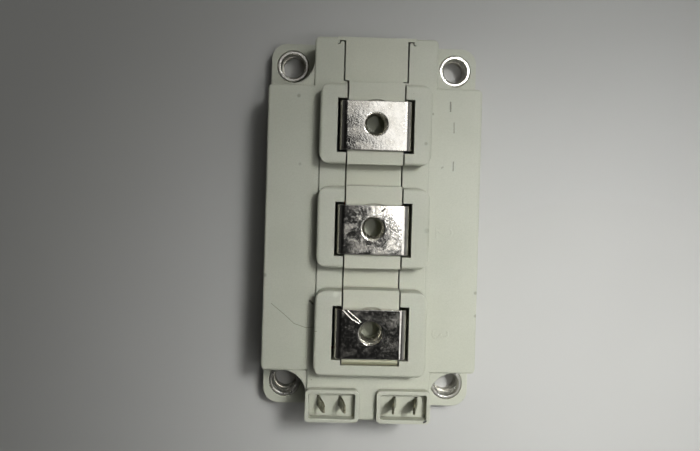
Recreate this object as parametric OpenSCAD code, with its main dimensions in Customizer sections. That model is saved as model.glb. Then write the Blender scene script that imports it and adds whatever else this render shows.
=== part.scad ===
// Half-bridge IGBT power module in the common 62 mm outline.
// Origin: centre of the baseplate's underside. X across, Y along, Z up.
// The control tabs are at the -Y end; the nut carrier slides in from the +Y end.

/* [Baseplate] */
// Length of the baseplate along Y
base_len = 106.4; // [104:0.2:112]
// Width of the baseplate along X
base_wid = 61.4; // [60:0.2:64]
// Thickness of the baseplate
base_t = 3; // [2:0.1:5]
// Radius of the baseplate's corners
base_r = 4; // [1:0.25:6]
// Distance from the baseplate's short ends to the mounting holes
hole_in = 6.7; // [6:0.1:7.5]
// Spacing of the mounting holes along X
hole_wid = 48; // [46:0.5:49]
// Bore of each mounting hole, for an M6 screw
hole_d = 6.4; // [5.4:0.1:7]

/* [Housing] */
// Step in from the baseplate's long sides to the moulding
side_inset = 0.4; // [0.1:0.1:0.8]
// Step in from the baseplate's short ends to the moulding
end_inset = 0.1; // [0.1:0.1:0.6]
// Height of the mounting ears above the baseplate
ear_h = 4.5; // [3:0.25:6]
// Radius of the ears' outer corners
ear_r = 4.5; // [1:0.25:6]
// Radius kept clear over each ear for a screw head and washer
washer_r = 6.85; // [6:0.05:7.5]
// Width of the tall part of the moulding
body_wid = 59.5; // [58:0.25:60]
// Height of the moulding's top face above the table
body_top = 23; // [21.5:0.25:24]
// Radius of the tall part's upright corners
body_r = 1.6; // [0.5:0.1:3]
// Radius of the tall part's top edges
edge_r = 0.6; // [0.2:0.1:1.5]
// Rise of the strip of the top face between the pads
spine_rise = 0.8; // [0.2:0.1:1.5]
// Thickness of the long side walls
wall = 3; // [2:0.25:3.5]
// Thickness of the walls round the two tongues
tongue_wall = 2.2; // [1.6:0.1:3]
// Thickness of the top over the hollow
roof = 2.2; // [1.5:0.1:3]

/* [Terminal pads] */
// Distance from the open end to the first terminal's hole
first_in = 24.4; // [24:0.1:25]
// Distance from the tab end to the last terminal's hole
last_in = 26; // [25.5:0.1:26.5]
// Width of the raised pads
pad_wid = 30.4; // [29:0.2:33]
// Length of each raised pad
pad_len = 21.8; // [20.5:0.2:22.4]
// Extra length of the last pad towards the control tabs
pad_extra = 1.3; // [0:0.1:1.4]
// Height of the pads' tops above the table
pad_top = 29.5; // [28:0.25:31]
// Radius of the pads' upright corners
pad_r = 3.2; // [1:0.2:5]
// Radius of the pads' top edges
pad_edge_r = 0.9; // [0.3:0.1:1.5]

/* [Power terminals] */
// Width of a terminal over the bends, along X
term_wid = 19.4; // [18:0.2:20]
// Length of a terminal along Y
term_len = 13.2; // [12:0.2:14]
// Offset of a terminal from its screw hole, along Y
term_shift = -0.4; // [-0.6:0.1:0.4]
// Thickness of the terminal sheet
term_t = 1.4; // [1:0.1:1.6]
// Outer radius of the terminal's bends
term_r = 1.9; // [1.7:0.1:2.5]
// Hole in a terminal, for an M6 screw
term_hole_d = 6.4; // [6.2:0.1:7]
// Gap round a terminal's leg in its slot
leg_gap = 0.7; // [0.3:0.05:0.8]
// Length of a terminal's foot along X
foot_len = 3.3; // [2:0.1:4]
// Width of a terminal's foot along Y
foot_wid = 3.2; // [2.5:0.1:4]

/* [Nut carrier] */
// Width of the carrier under the terminals
carrier_wid = 15.1; // [14.6:0.1:15.4]
// Width of the carrier's head at the open end
head_wid = 17.3; // [16.8:0.1:18]
// Length of the carrier's head
head_len = 12; // [11:0.25:12.5]
// Gap between the carrier and its channel
carrier_gap = 0.4; // [0.2:0.05:0.5]
// Height of the channel's floor above the table
channel_floor = 18; // [17.5:0.25:18.5]
// How far the carrier stands out of the open end
carrier_proud = 0.1; // [0:0.05:0.4]
// Reach of the snap hooks out of the head's sides
hook_reach = 2.2; // [2:0.05:2.5]
// Gap between the carrier's end and its stop
stop_gap = 0.1; // [0.05:0.05:0.3]
// Radius of the round recess over each nut
recess_r = 6.8; // [6.4:0.1:7.2]
// Depth of the round recess over each nut
recess_depth = 0.6; // [0.4:0.1:1]

/* [Terminal nuts] */
// Width across the flats of an M6 nut
nut_af = 10; // [9.5:0.1:10.5]
// Thickness of a nut
nut_h = 5; // [4:0.1:5.5]
// Core diameter of the M6 thread
nut_bore = 5; // [4.8:0.1:5.2]
// Gap round a nut in its pocket
nut_gap = 0.1; // [0.05:0.05:0.2]
// Depth of a nut's top face below the pad
nut_sink = 0.3; // [0.1:0.1:0.5]

/* [Mounting sleeves] */
// Outer diameter of a sleeve
sleeve_d = 9.4; // [8.8:0.1:10.5]
// Bore of a sleeve
sleeve_bore = 6.8; // [6.4:0.1:7]
// How far a sleeve stands above its ear
sleeve_proud = 0.2; // [0:0.05:0.5]
// Radial gap between a sleeve and its ear
sleeve_gap = 0.05; // [0.02:0.01:0.2]

/* [Control tabs] */
// Distance from the middle to the inner tabs
tab_inner_x = 7.6; // [7:0.1:8]
// Pitch of the two tabs in a socket
tab_pitch = 6.05; // [5.8:0.05:6.3]
// Distance from the tab end to the row of tabs
tab_in = 5.2; // [4.7:0.1:5.7]
// Width of a tab
tab_wid = 2.8; // [2.2:0.1:3]
// Thickness of a tab
tab_t = 0.5; // [0.4:0.05:0.8]
// Height of the tabs' tips above the table
tab_top = 30.5; // [29:0.25:31]
// Width of a tab's tip
tab_tip_wid = 2; // [1.2:0.1:2.2]
// Gap round a tab in its slot
tab_gap = 0.1; // [0.05:0.05:0.3]
// Depth of a socket's floor below the top face
socket_sink = 0.7; // [0.3:0.1:1.2]
// Rise of a socket's rim above the top face
rim_rise = 2.4; // [1:0.1:3]
// Thickness of a socket's rim
rim_t = 1; // [0.8:0.1:1.4]
// Length of a socket along X, over the rim
socket_len = 14.8; // [14:0.1:15.2]
// Width of a socket along Y, over the rim
socket_wid = 8.9; // [8:0.1:9.4]
// Radius of a socket's outer corners
socket_r = 1.3; // [0.5:0.1:2]

/* [Substrates] */
// Length of a substrate along X
sub_len = 46; // [44:0.5:48]
// Gap between a substrate and the hollow's end wall
sub_end_gap = 0.45; // [0.2:0.05:0.7]
// Gap between the two substrates
sub_mid_gap = 4.4; // [4:0.1:4.6]
// Thickness of the solder under a substrate
solder_t = 0.2; // [0.1:0.05:0.3]
// Thickness of each copper face
copper_t = 0.3; // [0.2:0.05:0.4]
// Thickness of the ceramic
ceramic_t = 0.4; // [0.3:0.05:0.7]
// Bare ceramic round the copper
ceramic_rim = 0.6; // [0.4:0.05:0.8]
// Gap between two copper tracks
track_gap = 0.8; // [0.5:0.05:1]
// Width of the gate track
gate_wid = 2.2; // [1.6:0.1:2.4]
// Width of the emitter track
emitter_wid = 5.8; // [5.6:0.1:6.2]

/* [Chips and wires] */
// Side of an IGBT chip
igbt_side = 11; // [10:0.1:11]
// Width of a diode chip along X
diode_wid = 6; // [5:0.1:6]
// Length of a diode chip along Y
diode_len = 10; // [8:0.1:10]
// Thickness of a chip with its solder
chip_t = 0.4; // [0.3:0.05:0.6]
// Distance from the middle to an IGBT chip's centre
igbt_x = 13.1; // [12.9:0.1:13.3]
// Distance from the middle to a diode chip's centre
diode_x = 3.6; // [3.5:0.05:3.7]
// Diameter of a bond wire
wire_d = 0.4; // [0.3:0.05:0.4]
// Spacing of the bond wires on an IGBT chip
igbt_wire_pitch = 2; // [1.6:0.1:2]
// Spacing of the bond wires on a diode chip
diode_wire_pitch = 3; // [2:0.1:3]

/* [Inner copper and leads] */
// Width of a link between the substrates
link_wid = 2.2; // [1.6:0.1:2.2]
// Thickness of a link
link_t = 1; // [0.8:0.1:1.2]
// Rise of a link over the tracks
link_rise = 4; // [3.5:0.1:5]
// Diameter of a control lead
lead_d = 1.2; // [0.8:0.1:1.4]
// Bend radius of a control lead
lead_bend = 1.6; // [1.2:0.1:1.8]
// Height of the silicone gel above the baseplate
gel_h = 5; // [4:0.25:5.5]
// Width of the adhesive bead
bead_wid = 1; // [0.6:0.1:1.2]
// Depth of the adhesive bead
bead_t = 0.6; // [0.4:0.1:0.8]

/* [Hidden] */
$fn = 48;

// Cuts run past a face by this much, so that no skin is left on it
past = 1;

// Colours
plastic = "#c4c5b6";
nickel = "#b9b8b2";
plated = "#c9c8c3";
copper = "#b87850";
solder = "#8f9194";
ceramic = "#eceae2";
silicon = "#5a5f68";
aluminium = "#d2d4d6";
zinc = "#a9adb0";
gel = "#dfe6e8";
sealant = "#9a9a96";
sleeving = "#7a1f1c";

// Plan: the ears lie inside the baseplate, with a round clearing in the tall part over each
skirt_len = base_len - 2 * end_inset;
skirt_wid = base_wid - 2 * side_inset;
hole_len = base_len - 2 * hole_in;
ear_top = base_t + ear_h;
tongue_wid = hole_wid - 2 * washer_r;
body_len = hole_len - 2 * washer_r;
spine_top = body_top + spine_rise;
spine_wid = pad_wid - 0.4;
bead_in = 0.6;

// Terminals, their slots and the carrier's channel
pitch = (base_len - first_in - last_in) / 2;
mid_y = (last_in - first_in) / 2;
term_y = [mid_y + pitch, mid_y, mid_y - pitch];
term_top = pad_top + term_t;
slot_out = term_wid / 2 + leg_gap;
slot_len = term_len + 2 * leg_gap;
channel_wid = carrier_wid + 2 * carrier_gap;
head_channel_wid = head_wid + 2 * carrier_gap;
stop_len = 2.2;
stop_bevel = 1.3;
well_floor = 1.5;
carrier_end = term_y[2] - recess_r - stop_len;
channel_end = carrier_end - stop_gap;
head_start = skirt_len / 2 - head_len;

// Snap hooks at the carrier's open end, each over a round post of the housing
hook_t = 0.5;
hook_gap = 0.25;
hook_fit = 0.05;
hook_arm_y = skirt_len / 2 - 0.85;
hook_end_y = hook_arm_y - 0.85;
post_wid = hook_reach - hook_t - hook_gap - carrier_gap;

// Hollow of the moulding
hollow_wid = body_wid - 2 * wall;
hollow_len = body_len - 2 * wall;
tongue_hollow_wid = tongue_wid - 2 * tongue_wall;
tongue_hollow_len = skirt_len - 2 * tongue_wall;
ceiling = channel_floor - roof;
socket_floor = body_top - socket_sink;
wing_in = slot_out + roof;

// Stack on the baseplate
sub_wid = (hollow_len - sub_mid_gap) / 2 - sub_end_gap;
sub_y = (sub_mid_gap + sub_wid) / 2;
back_z = base_t + solder_t;
ceramic_z = back_z + copper_t;
track_z = ceramic_z + ceramic_t;
track_top = track_z + copper_t;
chip_top = track_top + chip_t;
copper_len = sub_len - 2 * ceramic_rim;
copper_wid = sub_wid - 2 * ceramic_rim;
collector_len = copper_len - 2 * (gate_wid + track_gap);
collector_wid = copper_wid - emitter_wid - gate_wid - 2 * track_gap;
collector_edge = -copper_wid / 2 + emitter_wid + track_gap;
leg_neck = ceiling - 3;
foot_in = 1;
foot_edge = 0.2;

// Tabs: place along X and how far the bent tips lean, left to right
tab_x = [-tab_inner_x - tab_pitch, -tab_inner_x, tab_inner_x, tab_inner_x + tab_pitch];
tab_lean = [1.8, 1.3, -1, -1.4];
tab_h = tab_top - socket_floor;
tab_floor_under = socket_floor - roof;
tab_row_y = base_len / 2 - tab_in;
tab_taper = 2.4;
low_rise = 1;
high_rise = 4;
arm_reach = 3.5;
low_arm = ear_top + low_rise;
high_arm = ear_top + high_rise;
arm_z = [low_arm, high_arm, high_arm, low_arm];
arm_end = -tab_row_y + arm_reach;
arm_h = 1.6;
shoulder = 0.7;
shoulder_h = 3;
blade_root = 0.05;
socket_shift = 0.75;
socket_in_r = 0.5;
socket_mid = tab_inner_x + tab_pitch / 2 - socket_shift;
socket_y = -skirt_len / 2 + socket_wid / 2;

// A rectangle with round corners, centred
module round_rect(x, y, r) {
    square([x - 2 * r, y], center = true);
    square([x, y - 2 * r], center = true);
    for (sx = [-1, 1], sy = [-1, 1])
        translate([sx * (x / 2 - r), sy * (y / 2 - r)]) circle(r);
}

// An upright section with its two top corners round, standing on the axis
module round_top(w, h, r) {
    translate([-w / 2, 0]) square([w, h - r]);
    translate([-w / 2 + r, 0]) square([w - 2 * r, h]);
    for (s = [-1, 1]) translate([s * (w / 2 - r), h - r]) circle(r);
}

// A section in X and Z drawn out along Y, centred
module along_y(len) {
    rotate([90, 0, 0]) linear_extrude(len, center = true) children();
}

// A section in Y and Z drawn out along X, centred
module along_x(len) {
    rotate([90, 0, 90]) linear_extrude(len, center = true) children();
}

// A moulded block: round upright corners and round top edges
module soft_block(x, y, h, r, edge) {
    intersection() {
        linear_extrude(h) round_rect(x, y, r);
        along_y(y + past) round_top(x, h, edge);
        along_x(x + past) round_top(y, h, edge);
    }
}

module at_holes() {
    for (sx = [-1, 1], sy = [-1, 1]) translate([sx * hole_wid / 2, sy * hole_len / 2, 0]) children();
}

module at_terminals() {
    for (y = term_y) translate([0, y, 0]) children();
}

module at_sockets() {
    for (s = [-1, 1]) translate([s * socket_mid, socket_y, 0]) children();
}

module baseplate() {
    color(nickel) difference() {
        linear_extrude(base_t) round_rect(base_wid, base_len, base_r);
        at_holes() translate([0, 0, -past]) cylinder(d = hole_d, h = base_t + 2 * past);
    }
}

// Plan of the hollow, grown all round by grow
module hollow_plan(grow) {
    square([hollow_wid + 2 * grow, hollow_len + 2 * grow], center = true);
    square([tongue_hollow_wid + 2 * grow, tongue_hollow_len + 2 * grow], center = true);
}

// Ring between the moulding and the baseplate that holds the adhesive
module bead_ring() {
    difference() {
        hollow_plan(bead_in + bead_wid);
        hollow_plan(bead_in);
    }
}

module adhesive_bead() {
    color(sealant) translate([0, 0, base_t]) linear_extrude(bead_t) bead_ring();
}

// Raised pad round one terminal; extra lengthens it towards the tabs
module pad(extra) {
    translate([0, -extra / 2, base_t])
        soft_block(pad_wid, pad_len + extra, pad_top - base_t, pad_r, pad_edge_r);
}

// Outside of the moulding
module shell() {
    translate([0, 0, base_t]) {
        linear_extrude(ear_h) round_rect(skirt_wid, skirt_len, ear_r);
        soft_block(body_wid, body_len, body_top - base_t, body_r, edge_r);
        soft_block(tongue_wid, skirt_len, body_top - base_t, body_r, edge_r);
        linear_extrude(body_top - edge_r - base_t) square([hole_wid, hole_len], center = true);
    }
    translate([0, (term_y[0] + term_y[2]) / 2, base_t])
        linear_extrude(spine_top - base_t) square([spine_wid, 2 * pitch], center = true);
    for (i = [0:2]) translate([0, term_y[i], 0]) pad(i == 2 ? pad_extra : 0);
    at_sockets() translate([0, 0, base_t])
        linear_extrude(body_top + rim_rise - base_t) round_rect(socket_len, socket_wid, socket_r);
}

// Space for the carrier, from the open end to its stop, with room for the hooks
module carrier_space() {
    translate([-channel_wid / 2, channel_end, channel_floor])
        cube([channel_wid, skirt_len / 2 - channel_end + past, pad_top]);
    translate([-head_channel_wid / 2, head_start - carrier_gap / 2, channel_floor])
        cube([head_channel_wid, head_len + past, pad_top]);
    translate([0, 0, channel_floor]) linear_extrude(pad_top) both_sides() hook_space();
}

module both_sides() {
    for (s = [-1, 1]) scale([s, 1]) children();
}

// Plan of a hook: an arm over the housing's post and a tip behind it
module snap_hook() {
    translate([head_wid / 2 - past, hook_arm_y])
        square([hook_reach + past, skirt_len / 2 + carrier_proud - hook_arm_y]);
    translate([head_wid / 2 + hook_reach - hook_t, hook_end_y])
        square([hook_t, hook_arm_y - hook_end_y + past]);
}

// Plan of the room for a hook, round the post
module hook_space() {
    low = hook_end_y - hook_gap;
    difference() {
        translate([head_wid / 2, low]) square([hook_reach + hook_fit, skirt_len / 2 - low + past]);
        translate([head_wid / 2 + carrier_gap + post_wid / 2, hook_arm_y - hook_gap - post_wid / 2]) {
            circle(d = post_wid);
            translate([-post_wid / 2, -skirt_len]) square([post_wid, skirt_len]);
        }
    }
}

module housing() {
    color(plastic) difference() {
        shell();
        // clearings over the ears, and the sleeves' seats
        at_holes() {
            translate([0, 0, ear_top]) cylinder(r = washer_r, h = pad_top);
            cylinder(d = sleeve_d + 2 * sleeve_gap, h = pad_top);
        }
        // hollow over the substrates, the wings and the tab end
        linear_extrude(ceiling) hollow_plan(0);
        for (s = [-1, 1]) translate([s * (hollow_wid / 2 + wing_in) / 2, 0, 0])
            linear_extrude(body_top - roof) square([hollow_wid / 2 - wing_in, hollow_len], center = true);
        translate([-tongue_hollow_wid / 2, -tongue_hollow_len / 2, 0])
            cube([tongue_hollow_wid, (tongue_hollow_len - body_len) / 2, tab_floor_under]);
        // channel and slots
        carrier_space();
        at_terminals() translate([0, term_shift, pad_top / 2 + ceiling / 2])
            cube([2 * slot_out, slot_len, pad_top - ceiling + 2 * past], center = true);
        // sockets and their slots
        at_sockets() translate([0, 0, socket_floor])
            linear_extrude(pad_top) round_rect(socket_len - 2 * rim_t, socket_wid - 2 * rim_t, socket_in_r);
        for (x = tab_x) translate([x, -tab_row_y, socket_floor])
            cube([tab_t + 2 * tab_gap, tab_wid + 2 * tab_gap, 3 * roof], center = true);
        // groove for the adhesive
        translate([0, 0, base_t]) linear_extrude(2 * bead_t, center = true) bead_ring();
    }
}

// Side view of the carrier: low between the pads, pad height under the terminals
module carrier_side() {
    tip = skirt_len / 2 + carrier_proud;
    translate([carrier_end, channel_floor]) square([tip - carrier_end, body_top - channel_floor]);
    translate([term_y[2], channel_floor]) square([2 * pitch, spine_top - channel_floor]);
    for (y = term_y) {
        south = max(y - pad_len / 2, carrier_end);
        translate([south, channel_floor])
            square([y + pad_len / 2 + carrier_gap - south, pad_top - channel_floor]);
    }
}

module nut_carrier() {
    tip = skirt_len / 2 + carrier_proud;
    color(plastic) difference() {
        union() {
            along_x(carrier_wid) carrier_side();
            translate([-head_wid / 2, head_start, channel_floor])
                cube([head_wid, tip - head_start, body_top - channel_floor]);
            translate([0, 0, channel_floor]) linear_extrude(body_top - channel_floor)
                both_sides() snap_hook();
        }
        at_terminals() {
            translate([0, 0, pad_top - recess_depth]) cylinder(r = recess_r, h = pad_top);
            translate([0, 0, pad_top - nut_sink - nut_h])
                cylinder(d = (nut_af + 2 * nut_gap) / cos(30), h = pad_top, $fn = 6);
            translate([0, 0, channel_floor + well_floor]) cylinder(d = hole_d, h = pad_top);
        }
        // bevel on the stop end
        translate([0, carrier_end, pad_top]) rotate([45, 0, 0])
            cube([channel_wid, stop_bevel, stop_bevel], center = true);
    }
}

module terminal_nuts() {
    color(zinc) at_terminals() translate([0, 0, pad_top - nut_sink - nut_h]) difference() {
        cylinder(d = nut_af / cos(30), h = nut_h, $fn = 6);
        translate([0, 0, -past]) cylinder(d = nut_bore, h = nut_h + 2 * past);
    }
}

// End view of a terminal: a bridge over the carrier, two legs and two feet
module terminal_end_view() {
    h = term_top - track_top;
    translate([0, track_top]) {
        difference() {
            round_top(term_wid, h, term_r);
            translate([0, -past]) round_top(term_wid - 2 * term_t, h - term_t + past, term_r - term_t);
        }
        for (s = [-1, 1]) translate([s * (term_wid + foot_len - past) / 2, term_t / 2])
            square([foot_len + past, term_t], center = true);
    }
}

// Side view of a terminal: full length at the top, necked down to the foot
module terminal_side_view(foot_y) {
    translate([term_shift - term_len / 2, leg_neck]) square([term_len, term_top]);
    translate([foot_y - foot_wid / 2, track_top]) square([foot_wid, term_top - track_top]);
}

// Where each terminal's feet stand, measured from its own screw hole
function foot_y(i) =
    i == 0 ? sub_y + copper_wid / 2 - gate_wid - track_gap - foot_wid / 2 - foot_in - term_y[0] :
    i == 1 ? sub_y - copper_wid / 2 + foot_wid / 2 + foot_edge - term_y[1] :
    -sub_y - copper_wid / 2 + gate_wid + track_gap + foot_wid / 2 + foot_in - term_y[2];

module power_terminal(i) {
    color(plated) translate([0, term_y[i], 0]) difference() {
        intersection() {
            along_y(3 * term_len) terminal_end_view();
            along_x(2 * term_wid) terminal_side_view(foot_y(i));
        }
        translate([0, 0, pad_top - past]) cylinder(d = term_hole_d, h = term_t + 2 * past);
    }
}

// A turned sleeve with a chamfered bore
module mounting_sleeve(sx, sy) {
    top = ear_top + sleeve_proud;
    edge = 0.3;
    lead_in = 0.4;
    color(nickel) translate([sx * hole_wid / 2, sy * hole_len / 2, 0]) rotate_extrude() polygon([
        [sleeve_bore / 2, base_t], [sleeve_d / 2, base_t], [sleeve_d / 2, top - edge],
        [sleeve_d / 2 - edge, top], [sleeve_bore / 2 + lead_in, top], [sleeve_bore / 2, top - lead_in]
    ]);
}

// Flat outline of a tab below the socket's floor: shoulders, stem and arm
module tab_stem(i) {
    z = arm_z[i];
    translate([-tab_wid / 2, z]) square([tab_wid, socket_floor - z]);
    translate([-tab_wid / 2 - shoulder, tab_floor_under - shoulder_h])
        square([tab_wid + 2 * shoulder, shoulder_h]);
    translate([-tab_wid / 2, z]) square([arm_end + tab_row_y + tab_wid / 2, arm_h]);
}

// Flat outline of the blade above the socket's floor
module tab_blade() {
    polygon([
        [-tab_wid / 2, 0], [tab_wid / 2, 0], [tab_wid / 2, tab_h - tab_taper],
        [tab_tip_wid / 2, tab_h], [-tab_tip_wid / 2, tab_h], [-tab_wid / 2, tab_h - tab_taper]
    ]);
}

module control_tab(i) {
    lean = atan(tab_lean[i] / tab_h);
    color(plated) translate([tab_x[i], -tab_row_y, 0]) {
        along_x(tab_t) tab_stem(i);
        translate([0, 0, socket_floor - blade_root]) rotate([0, lean, 0]) along_x(tab_t) tab_blade();
    }
}

// Unit vector from a to b
function toward(a, b) = (b - a) / norm(b - a);

// Round rod from a to b
module rod(a, b, d) {
    v = b - a;
    translate(a) rotate([0, acos(v[2] / norm(v)), atan2(v[1], v[0])]) cylinder(d = d, h = norm(v));
}

// Quarter bend of a lead at corner c, from direction u to direction v
module elbow(c, u, v, d, r) {
    w = cross(u, v);
    o = c - u * r + v * r;
    multmatrix([
        [-v[0], u[0], w[0], o[0]], [-v[1], u[1], w[1], o[1]], [-v[2], u[2], w[2], o[2]], [0, 0, 0, 1]
    ]) rotate_extrude(angle = 90) translate([r, 0]) circle(d = d);
}

// Lead along points that turn at right angles
module lead(p) {
    n = len(p) - 1;
    for (i = [0:n - 1]) {
        u = toward(p[i], p[i + 1]);
        rod(p[i] + (i == 0 ? 0 : lead_bend) * u, p[i + 1] - (i == n - 1 ? 0 : lead_bend) * u, lead_d);
    }
    for (i = [1:n - 1])
        elbow(p[i], toward(p[i - 1], p[i]), toward(p[i], p[i + 1]), lead_d, lead_bend);
}

// Route of each control lead from its tab's arm to its track
end_clear = 0.4;
side_clear = 0.8;
lead_y = -hollow_len / 2 + lead_d / 2 + end_clear;
lead_x = hollow_wid / 2 - lead_d / 2 - side_clear;
gate_x = copper_len / 2 - gate_wid / 2;
gate_near_y = -sub_y - copper_wid / 2 + gate_wid / 2;
gate_lead_in = 5;
gate_far_y = sub_y - gate_lead_in;
emitter_y = sub_y - copper_wid / 2 + emitter_wid / 2;
function arm_mid(i) = arm_z[i] + arm_h / 2;
function lead_route(i) =
    let (x = tab_x[i], z = arm_mid(i), s = sign(tab_x[i]))
    i == 0 ? [[x, arm_end, z], [x, gate_near_y, z], [x, gate_near_y, track_top]] :
    let (y = i == 1 ? -emitter_y : i == 2 ? emitter_y : gate_far_y)
    [[x, arm_end, z], [x, lead_y, z], [s * lead_x, lead_y, z], [s * lead_x, y, z],
        [s * gate_x, y, z], [s * gate_x, y, track_top]];

module control_lead(i) {
    color(sleeving) lead(lead_route(i));
}

// Puts a substrate's own layout in place; the second is turned so that its emitter track faces the middle
module at_substrate(k) {
    if (k == 1) translate([0, sub_y, 0]) children();
    else mirror([0, 1, 0]) translate([0, sub_y, 0]) children();
}

module base_solder(k) {
    color(solder) at_substrate(k) translate([0, 0, base_t])
        linear_extrude(solder_t) square([copper_len, copper_wid], center = true);
}

module back_copper(k) {
    color(copper) at_substrate(k) translate([0, 0, back_z])
        linear_extrude(copper_t) square([copper_len, copper_wid], center = true);
}

module ceramic_plate(k) {
    color(ceramic) at_substrate(k) translate([0, 0, ceramic_z])
        linear_extrude(ceramic_t) square([sub_len, sub_wid], center = true);
}

module collector_track(k) {
    color(copper) at_substrate(k) translate([-collector_len / 2, collector_edge, track_z])
        cube([collector_len, collector_wid, copper_t]);
}

module emitter_track(k) {
    color(copper) at_substrate(k) translate([-copper_len / 2, -copper_wid / 2, track_z])
        cube([copper_len, emitter_wid, copper_t]);
}

// The gate track runs round three sides of the collector track
module gate_track(k) {
    color(copper) at_substrate(k) translate([0, 0, track_z]) linear_extrude(copper_t) difference() {
        translate([-copper_len / 2, collector_edge]) square([copper_len, copper_wid / 2 - collector_edge]);
        translate([-collector_len / 2 - track_gap, collector_edge - past])
            square([collector_len + 2 * track_gap, collector_wid + track_gap + past]);
    }
}

module chip(k, x, y, wx, wy) {
    color(silicon) at_substrate(k) translate([x - wx / 2, y - wy / 2, track_top]) cube([wx, wy, chip_t]);
}

module igbt_chip(k, s) {
    chip(k, s * igbt_x, 0, igbt_side, igbt_side);
}

module diode_chip(k, s) {
    chip(k, s * diode_x, 0, diode_wid, diode_len);
}

// One bond wire: a low arch between two flattened feet, along +Y from the chip down to the track
module bond_wire(span) {
    half = 60;
    r = span / (2 * sin(half));
    foot = 2.5 * wire_d;
    flat = 0.7 * wire_d;
    spring = 0.6 * wire_d;
    translate([0, span / 2, spring - r * cos(half)]) rotate([90, 0, 90]) rotate([0, 0, 90 - half])
        rotate_extrude(angle = 2 * half) translate([r, 0]) circle(d = wire_d, $fn = 16);
    translate([-wire_d / 2, -foot / 2, 0]) cube([wire_d, foot, flat]);
    translate([-wire_d / 2, span - foot / 2, -chip_t]) cube([wire_d, foot, flat + chip_t]);
}

// Wires from the chips' tops to the emitter track, and from each IGBT's edge to the gate track
wire_land_in = 1.2;
wire_start = -1;
wire_gate_in = 0.9;
wire_gate_y = 2.5;
module bond_wires(k) {
    land = collector_edge - track_gap - wire_land_in;
    gate_pad = igbt_x + igbt_side / 2 - wire_gate_in;
    color(aluminium) at_substrate(k) translate([0, 0, chip_top]) for (s = [-1, 1]) {
        for (j = [-1.5:1.5]) translate([s * igbt_x + j * igbt_wire_pitch, wire_start, 0])
            mirror([0, 1, 0]) bond_wire(wire_start - land);
        for (j = [-0.5, 0.5]) translate([s * diode_x + j * diode_wire_pitch, wire_start, 0])
            mirror([0, 1, 0]) bond_wire(wire_start - land);
        translate([s * gate_pad, wire_gate_y, 0]) rotate([0, 0, -s * 90]) bond_wire(gate_x - gate_pad);
    }
}

// Copper strap from the emitter track of the second substrate to the collector track of the first
link_foot = 2.6;
link_in = 1.5;
link_edge = 0.3;
module substrate_link(s) {
    foot = link_foot;
    from = -emitter_y - link_in;
    to = sub_y + collector_edge + link_edge;
    x = s * (diode_x + diode_wid / 2 + foot_edge);
    color(copper) translate([x, 0, track_top]) along_x(link_wid) {
        translate([from, 0]) square([foot, link_t]);
        translate([from + foot - link_t, 0]) square([link_t, link_rise]);
        translate([from + foot - link_t, link_rise - link_t]) square([to - from - foot + 2 * link_t, link_t]);
        translate([to, 0]) square([link_t, link_rise]);
        translate([to, 0]) square([foot, link_t]);
    }
}

module substrate_stack(k) {
    base_solder(k);
    back_copper(k);
    ceramic_plate(k);
    collector_track(k);
    emitter_track(k);
    gate_track(k);
    for (s = [-1, 1]) {
        igbt_chip(k, s);
        diode_chip(k, s);
    }
    bond_wires(k);
}

// Gel poured over the substrates, moulded round everything that stands in it
module silicone_gel() {
    color(gel) difference() {
        translate([0, 0, base_t]) linear_extrude(gel_h) hollow_plan(0);
        for (k = [1, 2]) substrate_stack(k);
        for (s = [-1, 1]) substrate_link(s);
        for (i = [0:2]) power_terminal(i);
        for (i = [0:3]) control_lead(i);
    }
}

baseplate();
housing();
adhesive_bead();
nut_carrier();
terminal_nuts();
power_terminal(0);  // power_terminal_1
power_terminal(1);  // power_terminal_2
power_terminal(2);  // power_terminal_3
mounting_sleeve(-1, 1);  // mounting_sleeve_1
mounting_sleeve(1, 1);  // mounting_sleeve_2
mounting_sleeve(-1, -1);  // mounting_sleeve_3
mounting_sleeve(1, -1);  // mounting_sleeve_4
for (i = [0:3]) control_tab(i);
for (i = [0:3]) control_lead(i);
for (k = [1, 2]) {
    base_solder(k);
    back_copper(k);
    ceramic_plate(k);
    collector_track(k);
    emitter_track(k);
    gate_track(k);
    bond_wires(k);
    igbt_chip(k, -1);
    igbt_chip(k, 1);
    diode_chip(k, -1);
    diode_chip(k, 1);
}
substrate_link(-1);  // substrate_link_1
substrate_link(1);  // substrate_link_2
silicone_gel();
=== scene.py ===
"""Looks of a half-bridge IGBT power module: moulded housing, plated terminals, captive nuts, metal base."""

import math

import bmesh
import bpy
from mathutils import Matrix, Vector


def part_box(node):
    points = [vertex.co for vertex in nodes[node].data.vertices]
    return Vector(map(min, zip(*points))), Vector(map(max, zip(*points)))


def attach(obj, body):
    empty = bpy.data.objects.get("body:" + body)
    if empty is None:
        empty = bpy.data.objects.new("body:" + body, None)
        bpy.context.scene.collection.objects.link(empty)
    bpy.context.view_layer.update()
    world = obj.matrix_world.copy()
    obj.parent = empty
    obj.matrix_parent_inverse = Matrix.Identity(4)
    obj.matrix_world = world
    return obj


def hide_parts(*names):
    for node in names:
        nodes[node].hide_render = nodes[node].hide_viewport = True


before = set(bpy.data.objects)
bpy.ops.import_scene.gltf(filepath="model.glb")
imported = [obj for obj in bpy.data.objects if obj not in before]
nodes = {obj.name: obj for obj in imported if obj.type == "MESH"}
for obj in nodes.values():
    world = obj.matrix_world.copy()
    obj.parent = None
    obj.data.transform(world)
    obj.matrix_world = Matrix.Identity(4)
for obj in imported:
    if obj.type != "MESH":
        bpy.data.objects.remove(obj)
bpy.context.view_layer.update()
MM = 0.001

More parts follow.
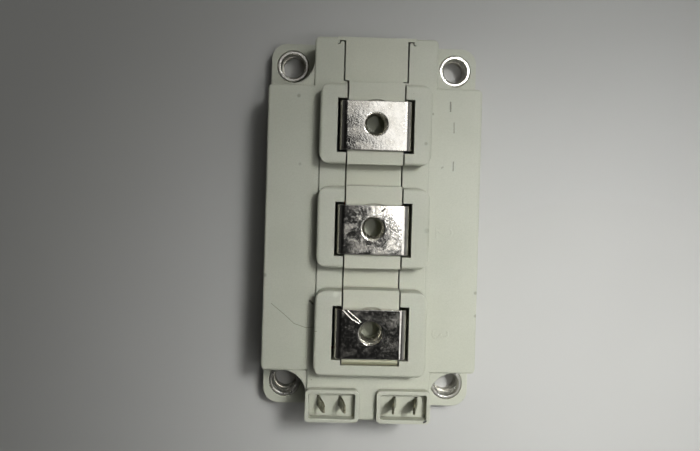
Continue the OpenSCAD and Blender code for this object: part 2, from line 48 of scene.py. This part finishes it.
# Names, heights and places that the pieces and patterns share
TERMINALS = ("power_terminal_1", "power_terminal_2", "power_terminal_3")
SLEEVES = tuple(f"mounting_sleeve_{i}" for i in (1, 2, 3, 4))
TABS = tuple(f"control_tab_{i}" for i in (1, 2, 3, 4))
LEADS = tuple(f"control_lead_{i}" for i in (1, 2, 3, 4))
NUT_LOW, NUT_HIGH = (corner.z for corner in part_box("terminal_nuts"))
NUT_FLATS = 10 * MM
THREAD_CORE, THREAD_CREST, THREAD_PITCH = 2.5 * MM, 3.0 * MM, 1.0 * MM
ROUND_STEPS = 48
HOLE_Y = (28.8 * MM, 0.8 * MM, -27.2 * MM)
SLEEVE_PLACE = (24 * MM, 46.5 * MM, 0)
WING_TOP = 23 * MM

# Settings that many nodes take
SMOOTH = {"interpolation_type": "SMOOTHSTEP"}
COLOUR = {"data_type": "RGBA"}


# ---------------------------------------------------------------- colours and nodes

def linear(code, alpha=1.0):
    """An sRGB hex colour as linear values."""
    values = [int(code[i:i + 2], 16) / 255 for i in (1, 3, 5)]
    return [v / 12.92 if v <= 0.04045 else ((v + 0.055) / 1.055) ** 2.4 for v in values] + [alpha]


def add(tree, kind, inputs=(), output=0, **settings):
    """Adds a node with its settings and its inputs, values or sockets, and gives one of its outputs."""
    node = tree.nodes.new(kind)
    for name, value in settings.items():
        setattr(node, name, value)
    for name, value in inputs.items() if isinstance(inputs, dict) else enumerate(inputs):
        if isinstance(value, bpy.types.NodeSocket):
            tree.links.new(value, node.inputs[name])
        else:
            node.inputs[name].default_value = value
    return node.outputs[output]


def new_material(name, **constants):
    """A material with a principled shader whose plain sockets are set directly."""
    material = bpy.data.materials.new(name)
    material.use_nodes = True
    tree = material.node_tree
    shader = tree.nodes["Principled BSDF"]
    for socket, value in constants.items():
        shader.inputs[socket.replace("_", " ")].default_value = value
    place = add(tree, "ShaderNodeTexCoord", output="Object")
    return material, tree, shader, place


def finish(tree, shader, colour, roughness, height, depth, edge):
    """Feeds the shader; height is a relief depth millimetres deep, over edges rounded to edge millimetres."""
    rounded = add(tree, "ShaderNodeBevel", {"Radius": edge * MM}, samples=6)
    relief = {"Height": height, "Strength": 1.0, "Distance": depth * MM, "Normal": rounded}
    tree.links.new(colour, shader.inputs["Base Color"])
    tree.links.new(roughness, shader.inputs["Roughness"])
    tree.links.new(add(tree, "ShaderNodeBump", relief), shader.inputs["Normal"])


# ---------------------------------------------------------------- marks

def above(tree, place, mask, height):
    """The part of a mask that lies above height millimetres."""
    z = add(tree, "ShaderNodeSeparateXYZ", [place], "Z")
    high = add(tree, "ShaderNodeMath", [z, height * MM], operation="GREATER_THAN")
    return add(tree, "ShaderNodeMath", [mask, high], operation="MULTIPLY")


def stroke(tree, place, start, end, width):
    """Mask of a straight mark from start to end, in millimetres in plan, ragged like a real scuff."""
    a, b = (Vector((*point, 0)) * MM for point in (start, end))
    along = b - a
    ragged = add(tree, "ShaderNodeTexNoise", {"Vector": place, "Scale": 1 / (0.5 * MM), "Detail": 2.0})
    flat = add(tree, "ShaderNodeVectorMath", [place, (1, 1, 0)], operation="MULTIPLY")
    out = add(tree, "ShaderNodeVectorMath", [flat, a], operation="SUBTRACT")
    share = add(tree, "ShaderNodeVectorMath", [out, along / along.length_squared], "Value",
                operation="DOT_PRODUCT")
    share = add(tree, "ShaderNodeClamp", [share])
    nearest = add(tree, "ShaderNodeVectorMath", {0: along, "Scale": share}, operation="SCALE")
    away = add(tree, "ShaderNodeVectorMath", [out, nearest], "Value", operation="DISTANCE")
    away = add(tree, "ShaderNodeMath", [ragged, -0.5 * width * MM, away], operation="MULTIPLY_ADD")
    return add(tree, "ShaderNodeMapRange", [away, 0, width * MM * 0.4, 1, 0], **SMOOTH)


def smudge(tree, place, centre, radius):
    """Mask of a round soft mark, in millimetres in plan."""
    flat = add(tree, "ShaderNodeVectorMath", [place, (1, 1, 0)], operation="MULTIPLY")
    away = add(tree, "ShaderNodeVectorMath", [flat, Vector((*centre, 0)) * MM], "Value", operation="DISTANCE")
    return add(tree, "ShaderNodeMapRange", [away, 0.3 * radius * MM, radius * MM, 1, 0], **SMOOTH)


def path(tree, place, points, width):
    """Mask of a mark that runs through several points."""
    mask = stroke(tree, place, *points[:2], width)
    for pair in zip(points[1:], points[2:]):
        mask = add(tree, "ShaderNodeMath", [mask, stroke(tree, place, *pair, width)], operation="MAXIMUM")
    return mask


def housing_marks(tree, place):
    """Handling marks on the top of the housing, each with its colour and its strength."""
    hairline = path(tree, place, ((-27.3, -21.2), (-23.6, -24.2), (-20.9, -26.6), (-17.6, -27.7),
                                  (-14.4, -27.3)), 0.2)
    yield above(tree, place, hairline, 22.5), "#6c6b58", 0.7
    yield above(tree, place, stroke(tree, place, (-16.7, -20.2), (-15.9, -21.0), 0.6), 22.5), "#4c4938", 0.85
    yield above(tree, place, stroke(tree, place, (15.6, -52.6), (16.2, -52.2), 0.6), 24), "#1c1b18", 1.0
    for start, end, width, strength in (
            ((20.85, 35.9), (20.9, 33.4), 0.5, 0.7), ((22.1, 19.3), (22.1, 16.9), 0.4, 0.55),
            ((22.0, 30.2), (22.05, 27.4), 0.35, 0.5), ((19.2, 17.8), (18.9, 17.6), 0.5, 0.4)):
        yield above(tree, place, stroke(tree, place, start, end, width), 22.5), "#4f4d40", strength
    for centre, radius, strength in (
            ((-21.3, 36.5), 0.75, 0.45), ((-20.5, 17.6), 0.6, 0.3), ((16.0, 32.5), 0.5, 0.5),
            ((13.6, 24.0), 0.7, 0.4), ((14.5, 0.5), 1.0, 0.25), ((-29.4, -13.4), 0.8, 0.5),
            ((29.3, -17.0), 0.7, 0.45), ((29.5, -23.4), 0.7, 0.45)):
        yield above(tree, place, smudge(tree, place, centre, radius), 22.5), "#5d5c4c", strength
    yield above(tree, place, smudge(tree, place, (-9.6, -17.2), 1.1), 29), "#d6d8ca", 0.5


def carrier_marks(tree, place):
    """The carrier's bevelled end, a little yellower than the rest."""
    yield above(tree, place, stroke(tree, place, (-7.4, -35.6), (7.4, -35.6), 2.4), 27), "#b4b388", 0.45


# ---------------------------------------------------------------- materials

def moulded_polyester(name, colour, marks):
    """Glass-filled polyester moulding: a matte pale grey-green skin with a fine sparked grain, faint
    cloudiness from the flow of the melt, dark specks, grime with painted shade in the corners, and edges rubbed
    a little paler."""
    material, tree, shader, place = new_material(name, IOR=1.57)
    cloud = add(tree, "ShaderNodeTexNoise", {"Vector": place, "Scale": 1 / (24 * MM), "Detail": 2.0})
    grain = add(tree, "ShaderNodeTexNoise", {"Vector": place, "Scale": 1 / (0.35 * MM), "Detail": 2.0})
    amount = add(tree, "ShaderNodeMapRange", [cloud, 0.3, 0.7, 0, 0.6], **SMOOTH)
    tint = add(tree, "ShaderNodeMix", {0: amount, 6: linear(colour), 7: linear("#aeb09f")}, 2, **COLOUR)
    amount = add(tree, "ShaderNodeMapRange", [grain, 0.35, 0.7, 0, 0.12], **SMOOTH)
    tint = add(tree, "ShaderNodeMix", {0: amount, 6: tint, 7: linear("#8f907f")}, 2, **COLOUR)

    # one dark speck, of its own size, in about a fifth of the 5 mm cells
    near = add(tree, "ShaderNodeTexVoronoi", {"Vector": place, "Scale": 1 / (5 * MM)}, "Distance")
    draw = add(tree, "ShaderNodeSeparateColor", [near.node.outputs["Color"]])
    size = add(tree, "ShaderNodeMapRange", [draw.node.outputs[1], 0, 1, 0.012, 0.05])
    speck = add(tree, "ShaderNodeMath", [near, size], operation="LESS_THAN")
    chosen = add(tree, "ShaderNodeMath", [draw, 0.82], operation="GREATER_THAN")
    amount = add(tree, "ShaderNodeMath", [speck, chosen], operation="MULTIPLY")
    amount = add(tree, "ShaderNodeMath", [amount, 0.6], operation="MULTIPLY")
    tint = add(tree, "ShaderNodeMix", {0: amount, 6: tint, 7: linear("#4a463a")}, 2, **COLOUR)

    # painted shade and grime darkening the corners and creases, and edges that handling has rubbed
    grime_and_shade_openness = add(tree, "ShaderNodeAmbientOcclusion", {"Distance": 1.2 * MM}, "AO", samples=8)
    amount = add(tree, "ShaderNodeMapRange", [grime_and_shade_openness, 0.25, 0.8, 0.75, 0], **SMOOTH)
    tint = add(tree, "ShaderNodeMix", {0: amount, 6: tint, 7: linear("#6f6c5a")}, 2, **COLOUR)
    soft = add(tree, "ShaderNodeBevel", {"Radius": 0.5 * MM}, samples=6)
    hard = add(tree, "ShaderNodeNewGeometry", output="Normal")
    turned = add(tree, "ShaderNodeVectorMath", [soft, hard], "Value", operation="DOT_PRODUCT")
    amount = add(tree, "ShaderNodeMapRange", [turned, 0.72, 0.97, 0.22, 0], **SMOOTH)
    tint = add(tree, "ShaderNodeMix", {0: amount, 6: tint, 7: linear("#d9dacd")}, 2, **COLOUR)

    height = grain
    for mask, shade, strength in marks(tree, place):
        amount = add(tree, "ShaderNodeMath", [mask, strength], operation="MULTIPLY")
        tint = add(tree, "ShaderNodeMix", {0: amount, 6: tint, 7: linear(shade)}, 2, **COLOUR)
        height = add(tree, "ShaderNodeMath", [height, amount], operation="SUBTRACT")
    roughness = add(tree, "ShaderNodeMapRange", [grain, 0.3, 0.7, 0.5, 0.62], **SMOOTH)
    finish(tree, shader, tint, roughness, height, 0.03, 0.22)
    return material


def plated_sheet():
    """Bright nickel on stamped copper: a near mirror under a fine haze of pits, clouded in soft patches
    where it has been rubbed, with the scratches that a screw's washer leaves."""
    material, tree, shader, place = new_material("nickel plated copper sheet", Metallic=1.0)
    pits = add(tree, "ShaderNodeTexNoise",
               {"Vector": place, "Scale": 1 / (0.7 * MM), "Detail": 3.0, "Roughness": 0.6})
    patches = add(tree, "ShaderNodeTexNoise", {"Vector": place, "Scale": 1 / (3.2 * MM), "Detail": 4.0})
    scratch = path(tree, place, ((-7.4, -21.2), (-5.2, -23.4), (-3.0, -24.6)), 0.3)
    for start, end, width in (((-6.2, -21.2), (-2.6, -24.2), 0.2), ((3.4, -4.8), (6.6, -2.2), 0.12)):
        other = stroke(tree, place, start, end, width)
        scratch = add(tree, "ShaderNodeMath", [scratch, other], operation="MAXIMUM")
    scratch = above(tree, place, scratch, 30.5)
    nick = above(tree, place, stroke(tree, place, (2.2, 5.5), (3.0, 6.2), 0.5), 30)
    amount = add(tree, "ShaderNodeMapRange", [patches, 0.35, 0.7, 0, 1], **SMOOTH)
    tint = add(tree, "ShaderNodeMix", {0: amount, 6: linear("#e4e1d9"), 7: linear("#c6c2b8")}, 2, **COLOUR)
    tint = add(tree, "ShaderNodeMix", {0: nick, 6: tint, 7: linear("#1d1b18")}, 2, **COLOUR)
    dull = add(tree, "ShaderNodeMapRange", [patches, 0.4, 0.68, 0.08, 0.18], **SMOOTH)
    hazy = add(tree, "ShaderNodeMapRange", [pits, 0.45, 0.7, 0, 0.08], **SMOOTH)
    dull = add(tree, "ShaderNodeMath", [dull, hazy], operation="ADD")
    dull = add(tree, "ShaderNodeMath", [scratch, 0.3, dull], operation="MULTIPLY_ADD")
    height = add(tree, "ShaderNodeMath", [pits, scratch], operation="SUBTRACT")
    finish(tree, shader, tint, dull, height, 0.012, 0.3)
    return material


def turned_steel():
    """Turned and nickelled steel: fine rings left by the lathe round each bore, softly clouded."""
    material, tree, shader, place = new_material("turned nickelled steel", Metallic=1.0)
    cloud = add(tree, "ShaderNodeTexNoise", {"Vector": place, "Scale": 1 / (1.2 * MM), "Detail": 3.0})
    folded = add(tree, "ShaderNodeVectorMath", [place], operation="ABSOLUTE")
    folded = add(tree, "ShaderNodeVectorMath", [folded, (1, 1, 0)], operation="MULTIPLY")
    radius = add(tree, "ShaderNodeVectorMath", [folded, SLEEVE_PLACE], "Value", operation="DISTANCE")
    turns = add(tree, "ShaderNodeMath", [radius, math.tau / (0.16 * MM)], operation="MULTIPLY")
    rings = add(tree, "ShaderNodeMath", [turns], operation="SINE")
    amount = add(tree, "ShaderNodeMapRange", [cloud, 0.35, 0.7, 0, 1], **SMOOTH)
    tint = add(tree, "ShaderNodeMix", {0: amount, 6: linear("#dcdad2"), 7: linear("#b4b1a7")}, 2, **COLOUR)
    roughness = add(tree, "ShaderNodeMapRange", [cloud, 0.3, 0.7, 0.26, 0.38], **SMOOTH)
    height = add(tree, "ShaderNodeMath", [rings, 0.3, cloud], operation="MULTIPLY_ADD")
    finish(tree, shader, tint, roughness, height, 0.006, 0.2)
    return material


def worn_metal(name, bright, dark, lump, smooth, rough, depth, edge):
    """A plated or bare metal with cloudy wear; lump, depth and edge are in millimetres."""
    material, tree, shader, place = new_material(name, Metallic=1.0)
    wear = add(tree, "ShaderNodeTexNoise",
               {"Vector": place, "Scale": 1 / (lump * MM), "Detail": 4.0, "Roughness": 0.65})
    amount = add(tree, "ShaderNodeMapRange", [wear, 0.35, 0.68, 0, 1], **SMOOTH)
    tint = add(tree, "ShaderNodeMix", {0: amount, 6: linear(bright), 7: linear(dark)}, 2, **COLOUR)
    roughness = add(tree, "ShaderNodeMapRange", [wear, 0.3, 0.7, smooth, rough], **SMOOTH)
    finish(tree, shader, tint, roughness, wear, depth, edge)
    return material


def matte_solid(name, pale, deep, lump, smooth, rough, **constants):
    """A non-metal with a soft cloudy change of tone and sheen, its lumps in millimetres."""
    material, tree, shader, place = new_material(name, **constants)
    cloud = add(tree, "ShaderNodeTexNoise", {"Vector": place, "Scale": 1 / (lump * MM), "Detail": 3.0})
    tint = add(tree, "ShaderNodeMix", {0: cloud, 6: linear(pale), 7: linear(deep)}, 2, **COLOUR)
    roughness = add(tree, "ShaderNodeMapRange", [cloud, 0.3, 0.7, smooth, rough], **SMOOTH)
    finish(tree, shader, tint, roughness, cloud, 0.02, 0.05)
    return material


def dress(material, *names):
    for name in names:
        slots = nodes[name].material_slots
        if not slots:
            nodes[name].data.materials.append(material)
        for slot in slots:
            slot.material = material


PLASTIC = moulded_polyester("moulded polyester", "#b9bbab", housing_marks)
NUT_STEEL = worn_metal("zinc plated steel", "#c9c7bb", "#8f8c80", 0.8, 0.22, 0.4, 0.01, 0.1)
COPPER = worn_metal("bare copper", "#c98a62", "#9a5c3c", 1.6, 0.3, 0.45, 0.01, 0.03)
SOLDER = worn_metal("solder", "#a3a5a6", "#84878a", 1.2, 0.35, 0.5, 0.02, 0.03)
ALUMINA = matte_solid("alumina", "#efede6", "#dfdcd2", 1.5, 0.55, 0.65)
SILICON = matte_solid("metallised silicon", "#6d737d", "#4d525c", 2.0, 0.2, 0.3, Metallic=0.7)
WIRE = worn_metal("bond aluminium", "#dcdde0", "#bcbec2", 0.6, 0.3, 0.4, 0.005, 0.02)
dress(PLASTIC, "housing")
dress(moulded_polyester("moulded polyester, carrier", "#bcbdab", carrier_marks), "nut_carrier")
dress(plated_sheet(), *TERMINALS)
dress(turned_steel(), *SLEEVES)
dress(worn_metal("tinned brass tab", "#a19d86", "#6b6856", 0.6, 0.25, 0.42, 0.01, 0.08), *TABS)
dress(worn_metal("nickel plated base", "#c9c6bc", "#a19e93", 2.5, 0.28, 0.45, 0.01, 0.2), "baseplate")
dress(matte_solid("silicone sealant", "#9b9b97", "#868680", 1.0, 0.55, 0.65), "adhesive_bead")
dress(matte_solid("lead sleeving", "#7d211e", "#64110f", 1.5, 0.5, 0.6), *LEADS)
dress(matte_solid("silicone gel", "#dfe6e6", "#cfd8d8", 4.0, 0.12, 0.18, Transmission_Weight=0.6, IOR=1.41),
      "silicone_gel")
dress(SILICON, *(f"{part}_{i}" for part in ("igbt_chip", "diode_chip") for i in (1, 2, 3, 4)))
for k in (1, 2):
    dress(SOLDER, f"base_solder_{k}")
    dress(ALUMINA, f"ceramic_{k}")
    dress(COPPER, *(f"{part}_{k}" for part in (
        "back_copper", "collector_track", "emitter_track", "gate_track", "substrate_link")))
    dress(WIRE, f"bond_wires_{k}")


# ---------------------------------------------------------------- pieces

def new_piece(name, mesh, material):
    piece = bpy.data.objects.new(name, mesh)
    bpy.context.scene.collection.objects.link(piece)
    mesh.materials.clear()
    mesh.materials.append(material)
    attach(piece, "root")
    return piece


def cutter(name, form):
    """A helper object from a mesh under construction, its faces turned outwards."""
    bmesh.ops.recalc_face_normals(form, faces=form.faces)
    if form.calc_volume(signed=True) < 0:
        bmesh.ops.reverse_faces(form, faces=form.faces)
    mesh = bpy.data.meshes.new(name)
    form.to_mesh(mesh)
    form.free()
    helper = bpy.data.objects.new(name, mesh)
    bpy.context.scene.collection.objects.link(helper)
    return helper


def screw_thread(core, crest, pitch, low, high):
    """A closed threaded rod from low to high: a zigzag edge spun a full turn while it climbs one pitch."""
    form = bmesh.new()
    corners = []
    for i in range(2 * math.ceil((high - low) / pitch) + 9):
        radius = core if i % 2 == 0 else crest
        corners.append(form.verts.new((radius, 0, low - 2 * pitch + i * pitch / 2)))
    edges = [form.edges.new(pair) for pair in zip(corners, corners[1:])]
    bmesh.ops.spin(form, geom=corners + edges, axis=(0, 0, 1), cent=(0, 0, 0), dvec=(0, 0, pitch / ROUND_STEPS),
                   angle=math.tau, steps=ROUND_STEPS)
    bmesh.ops.remove_doubles(form, verts=form.verts, dist=0.01 * MM)
    for height, side in ((low, -1), (high, 1)):
        everything = form.verts[:] + form.edges[:] + form.faces[:]
        cut = bmesh.ops.bisect_plane(form, geom=everything, plane_co=(0, 0, height), plane_no=(0, 0, side),
                                     clear_outer=True)
        rim = [item for item in cut["geom_cut"] if isinstance(item, bmesh.types.BMEdge)]
        bmesh.ops.edgeloop_fill(form, edges=rim)
    return cutter("thread", form)


def hex_nut():
    """An M6 nut standing on z = 0: a bevelled hexagon with a real thread, countersunk at both ends."""
    tall = NUT_HIGH - NUT_LOW
    corner = NUT_FLATS / 2 / math.cos(math.pi / 6)
    body = bmesh.new()
    bmesh.ops.create_cone(body, cap_ends=True, segments=6, radius1=corner, radius2=corner, depth=tall,
                          matrix=Matrix.Translation((0, 0, tall / 2)) @ Matrix.Rotation(math.pi / 6, 4, "Z"))
    bmesh.ops.bevel(body, geom=[e for e in body.edges if abs(e.verts[0].co.z - e.verts[1].co.z) < MM / 100],
                    offset=0.35 * MM, segments=2, profile=0.5, affect="EDGES", material=-1)
    thread = screw_thread(THREAD_CORE, THREAD_CREST, THREAD_PITCH, -1 * MM, tall + 1 * MM)
    helpers = [cutter("nut", body), thread]
    for end, turn in ((tall, 0), (0, math.pi)):
        sink = bmesh.new()
        seat = Matrix.Translation((0, 0, end)) @ Matrix.Rotation(turn, 4, "X")
        bmesh.ops.create_cone(sink, cap_ends=True, segments=ROUND_STEPS, radius1=2.4 * MM, radius2=3.7 * MM,
                              depth=1.3 * MM, matrix=seat)
        helpers.append(cutter("countersink", sink))
    for tool in helpers[1:]:
        cut = helpers[0].modifiers.new(tool.name, "BOOLEAN")
        cut.operation, cut.solver, cut.object = "DIFFERENCE", "EXACT", tool
    shape = bpy.data.meshes.new_from_object(helpers[0].evaluated_get(bpy.context.evaluated_depsgraph_get()))
    for helper in helpers:
        bpy.data.objects.remove(helper)
    return shape


def terminal_nuts():
    shape = hex_nut()
    for i, y in enumerate(HOLE_Y, 1):
        mesh = shape.copy()
        mesh.transform(Matrix.Translation((0, y, NUT_LOW)))
        piece = new_piece(f"threaded_nut_{i}", mesh, NUT_STEEL)
        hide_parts("terminal_nuts")


def numeral(text, x, y):
    """A raised numeral on the housing's right wing, its top turned to the right."""
    curve = bpy.data.curves.new("numeral " + text, "FONT")
    curve.body = text
    curve.size = 7.0 * MM
    curve.extrude = 0.1 * MM
    curve.offset = -0.05 * MM
    curve.align_x, curve.align_y = "CENTER", "CENTER"
    holder = bpy.data.objects.new("numeral " + text, curve)
    bpy.context.scene.collection.objects.link(holder)
    mesh = bpy.data.meshes.new_from_object(holder.evaluated_get(bpy.context.evaluated_depsgraph_get()))
    bpy.data.objects.remove(holder)
    mesh.transform(Matrix.Translation((x * MM, y * MM, WING_TOP)) @ Matrix.Rotation(-math.pi / 2, 4, "Z"))
    new_piece(f"numeral_{text}", mesh, PLASTIC)


terminal_nuts()
for text, x, y in (("1", 20.1, 28.0), ("2", 19.8, -0.6), ("3", 19.5, -28.9)):
    numeral(text, x, y)


# ---------------------------------------------------------------- floor, light and camera

def floor():
    sheet = bmesh.new()
    bmesh.ops.create_grid(sheet, x_segments=1, y_segments=1, size=2.5)
    mesh = bpy.data.meshes.new("floor")
    sheet.to_mesh(mesh)
    sheet.free()
    material, tree, shader, place = new_material("painted table", Roughness=0.6)
    cloud = add(tree, "ShaderNodeTexNoise", {"Vector": place, "Scale": 1 / (60 * MM), "Detail": 2.0})
    tint = add(tree, "ShaderNodeMix", {0: cloud, 6: linear("#b8b8b4"), 7: linear("#b1b1ad")}, 2, **COLOUR)
    tree.links.new(tint, shader.inputs["Base Color"])
    mesh.materials.append(material)
    piece = bpy.data.objects.new("floor", mesh)
    bpy.context.scene.collection.objects.link(piece)


def soft_lamp(name, place, aim, size, power, spread=180, roll=0):
    """A rectangular lamp turned to an aim; spread is its beam's angle and roll its turn, both in degrees."""
    lamp = bpy.data.lights.new(name, "AREA")
    lamp.shape = "RECTANGLE"
    lamp.size, lamp.size_y = size
    lamp.energy = power
    lamp.spread = math.radians(spread)
    holder = bpy.data.objects.new(name, lamp)
    holder.location = place
    turn = (Vector(place) - Vector(aim)).to_track_quat("Z", "Y").to_matrix()
    holder.rotation_euler = (turn @ Matrix.Rotation(math.radians(roll), 3, "Z")).to_euler()
    bpy.context.scene.collection.objects.link(holder)


def studio():
    """A broad panel over the upper right, a narrower beam that falls on the lower right, a small lamp near
    the camera that reaches into the wells, and a room lighter on the right and dark straight overhead."""
    soft_lamp("panel", (0.216, 0.106, 0.62), (0.216, 0.106, 0), (0.40, 0.56), 0.87, roll=23)
    soft_lamp("beam", (0.20, 0.15, 0.55), (0.075, -0.055, 0.02), (0.12, 0.12), 0.125, spread=30)
    soft_lamp("near", (0.04, 0.0, 0.26), (0, 0, 0), (0.02, 0.02), 0.042)
    world = bpy.data.worlds.new("room")
    bpy.context.scene.world = world
    world.use_nodes = True
    tree = world.node_tree
    room = tree.nodes["Background"]
    way = add(tree, "ShaderNodeTexCoord", output="Generated")
    up = add(tree, "ShaderNodeSeparateXYZ", [way], "Z")
    level = add(tree, "ShaderNodeMapRange", [up, 0.2, 0.95, 1, 0.05], **SMOOTH)
    side = add(tree, "ShaderNodeMapRange", [up.node.outputs["X"], -0.8, 0.8, 0.05, 0.3], **SMOOTH)
    level = add(tree, "ShaderNodeMath", [level, side], operation="MULTIPLY")
    room.inputs["Color"].default_value = linear("#f4f4f2")
    tree.links.new(level, room.inputs["Strength"])


def camera():
    view = bpy.data.cameras.new("camera")
    view.sensor_width = 36
    view.lens = 40.37
    view.shift_x, view.shift_y = -0.0135, -0.0759
    view.clip_start = 0.005
    holder = bpy.data.objects.new("camera", view)
    roll, tilt, pan = 0.028, -0.004, -0.027
    turn = Matrix.Rotation(roll, 4, "Z") @ Matrix.Rotation(tilt, 4, "X") @ Matrix.Rotation(pan, 4, "Y")
    holder.matrix_world = Matrix.Translation((-9.855 * MM, 16.442 * MM, 240.598 * MM)) @ turn
    bpy.context.scene.collection.objects.link(holder)
    bpy.context.scene.camera = holder


floor()
studio()
camera()
bpy.context.scene.view_settings.view_transform = "Standard"
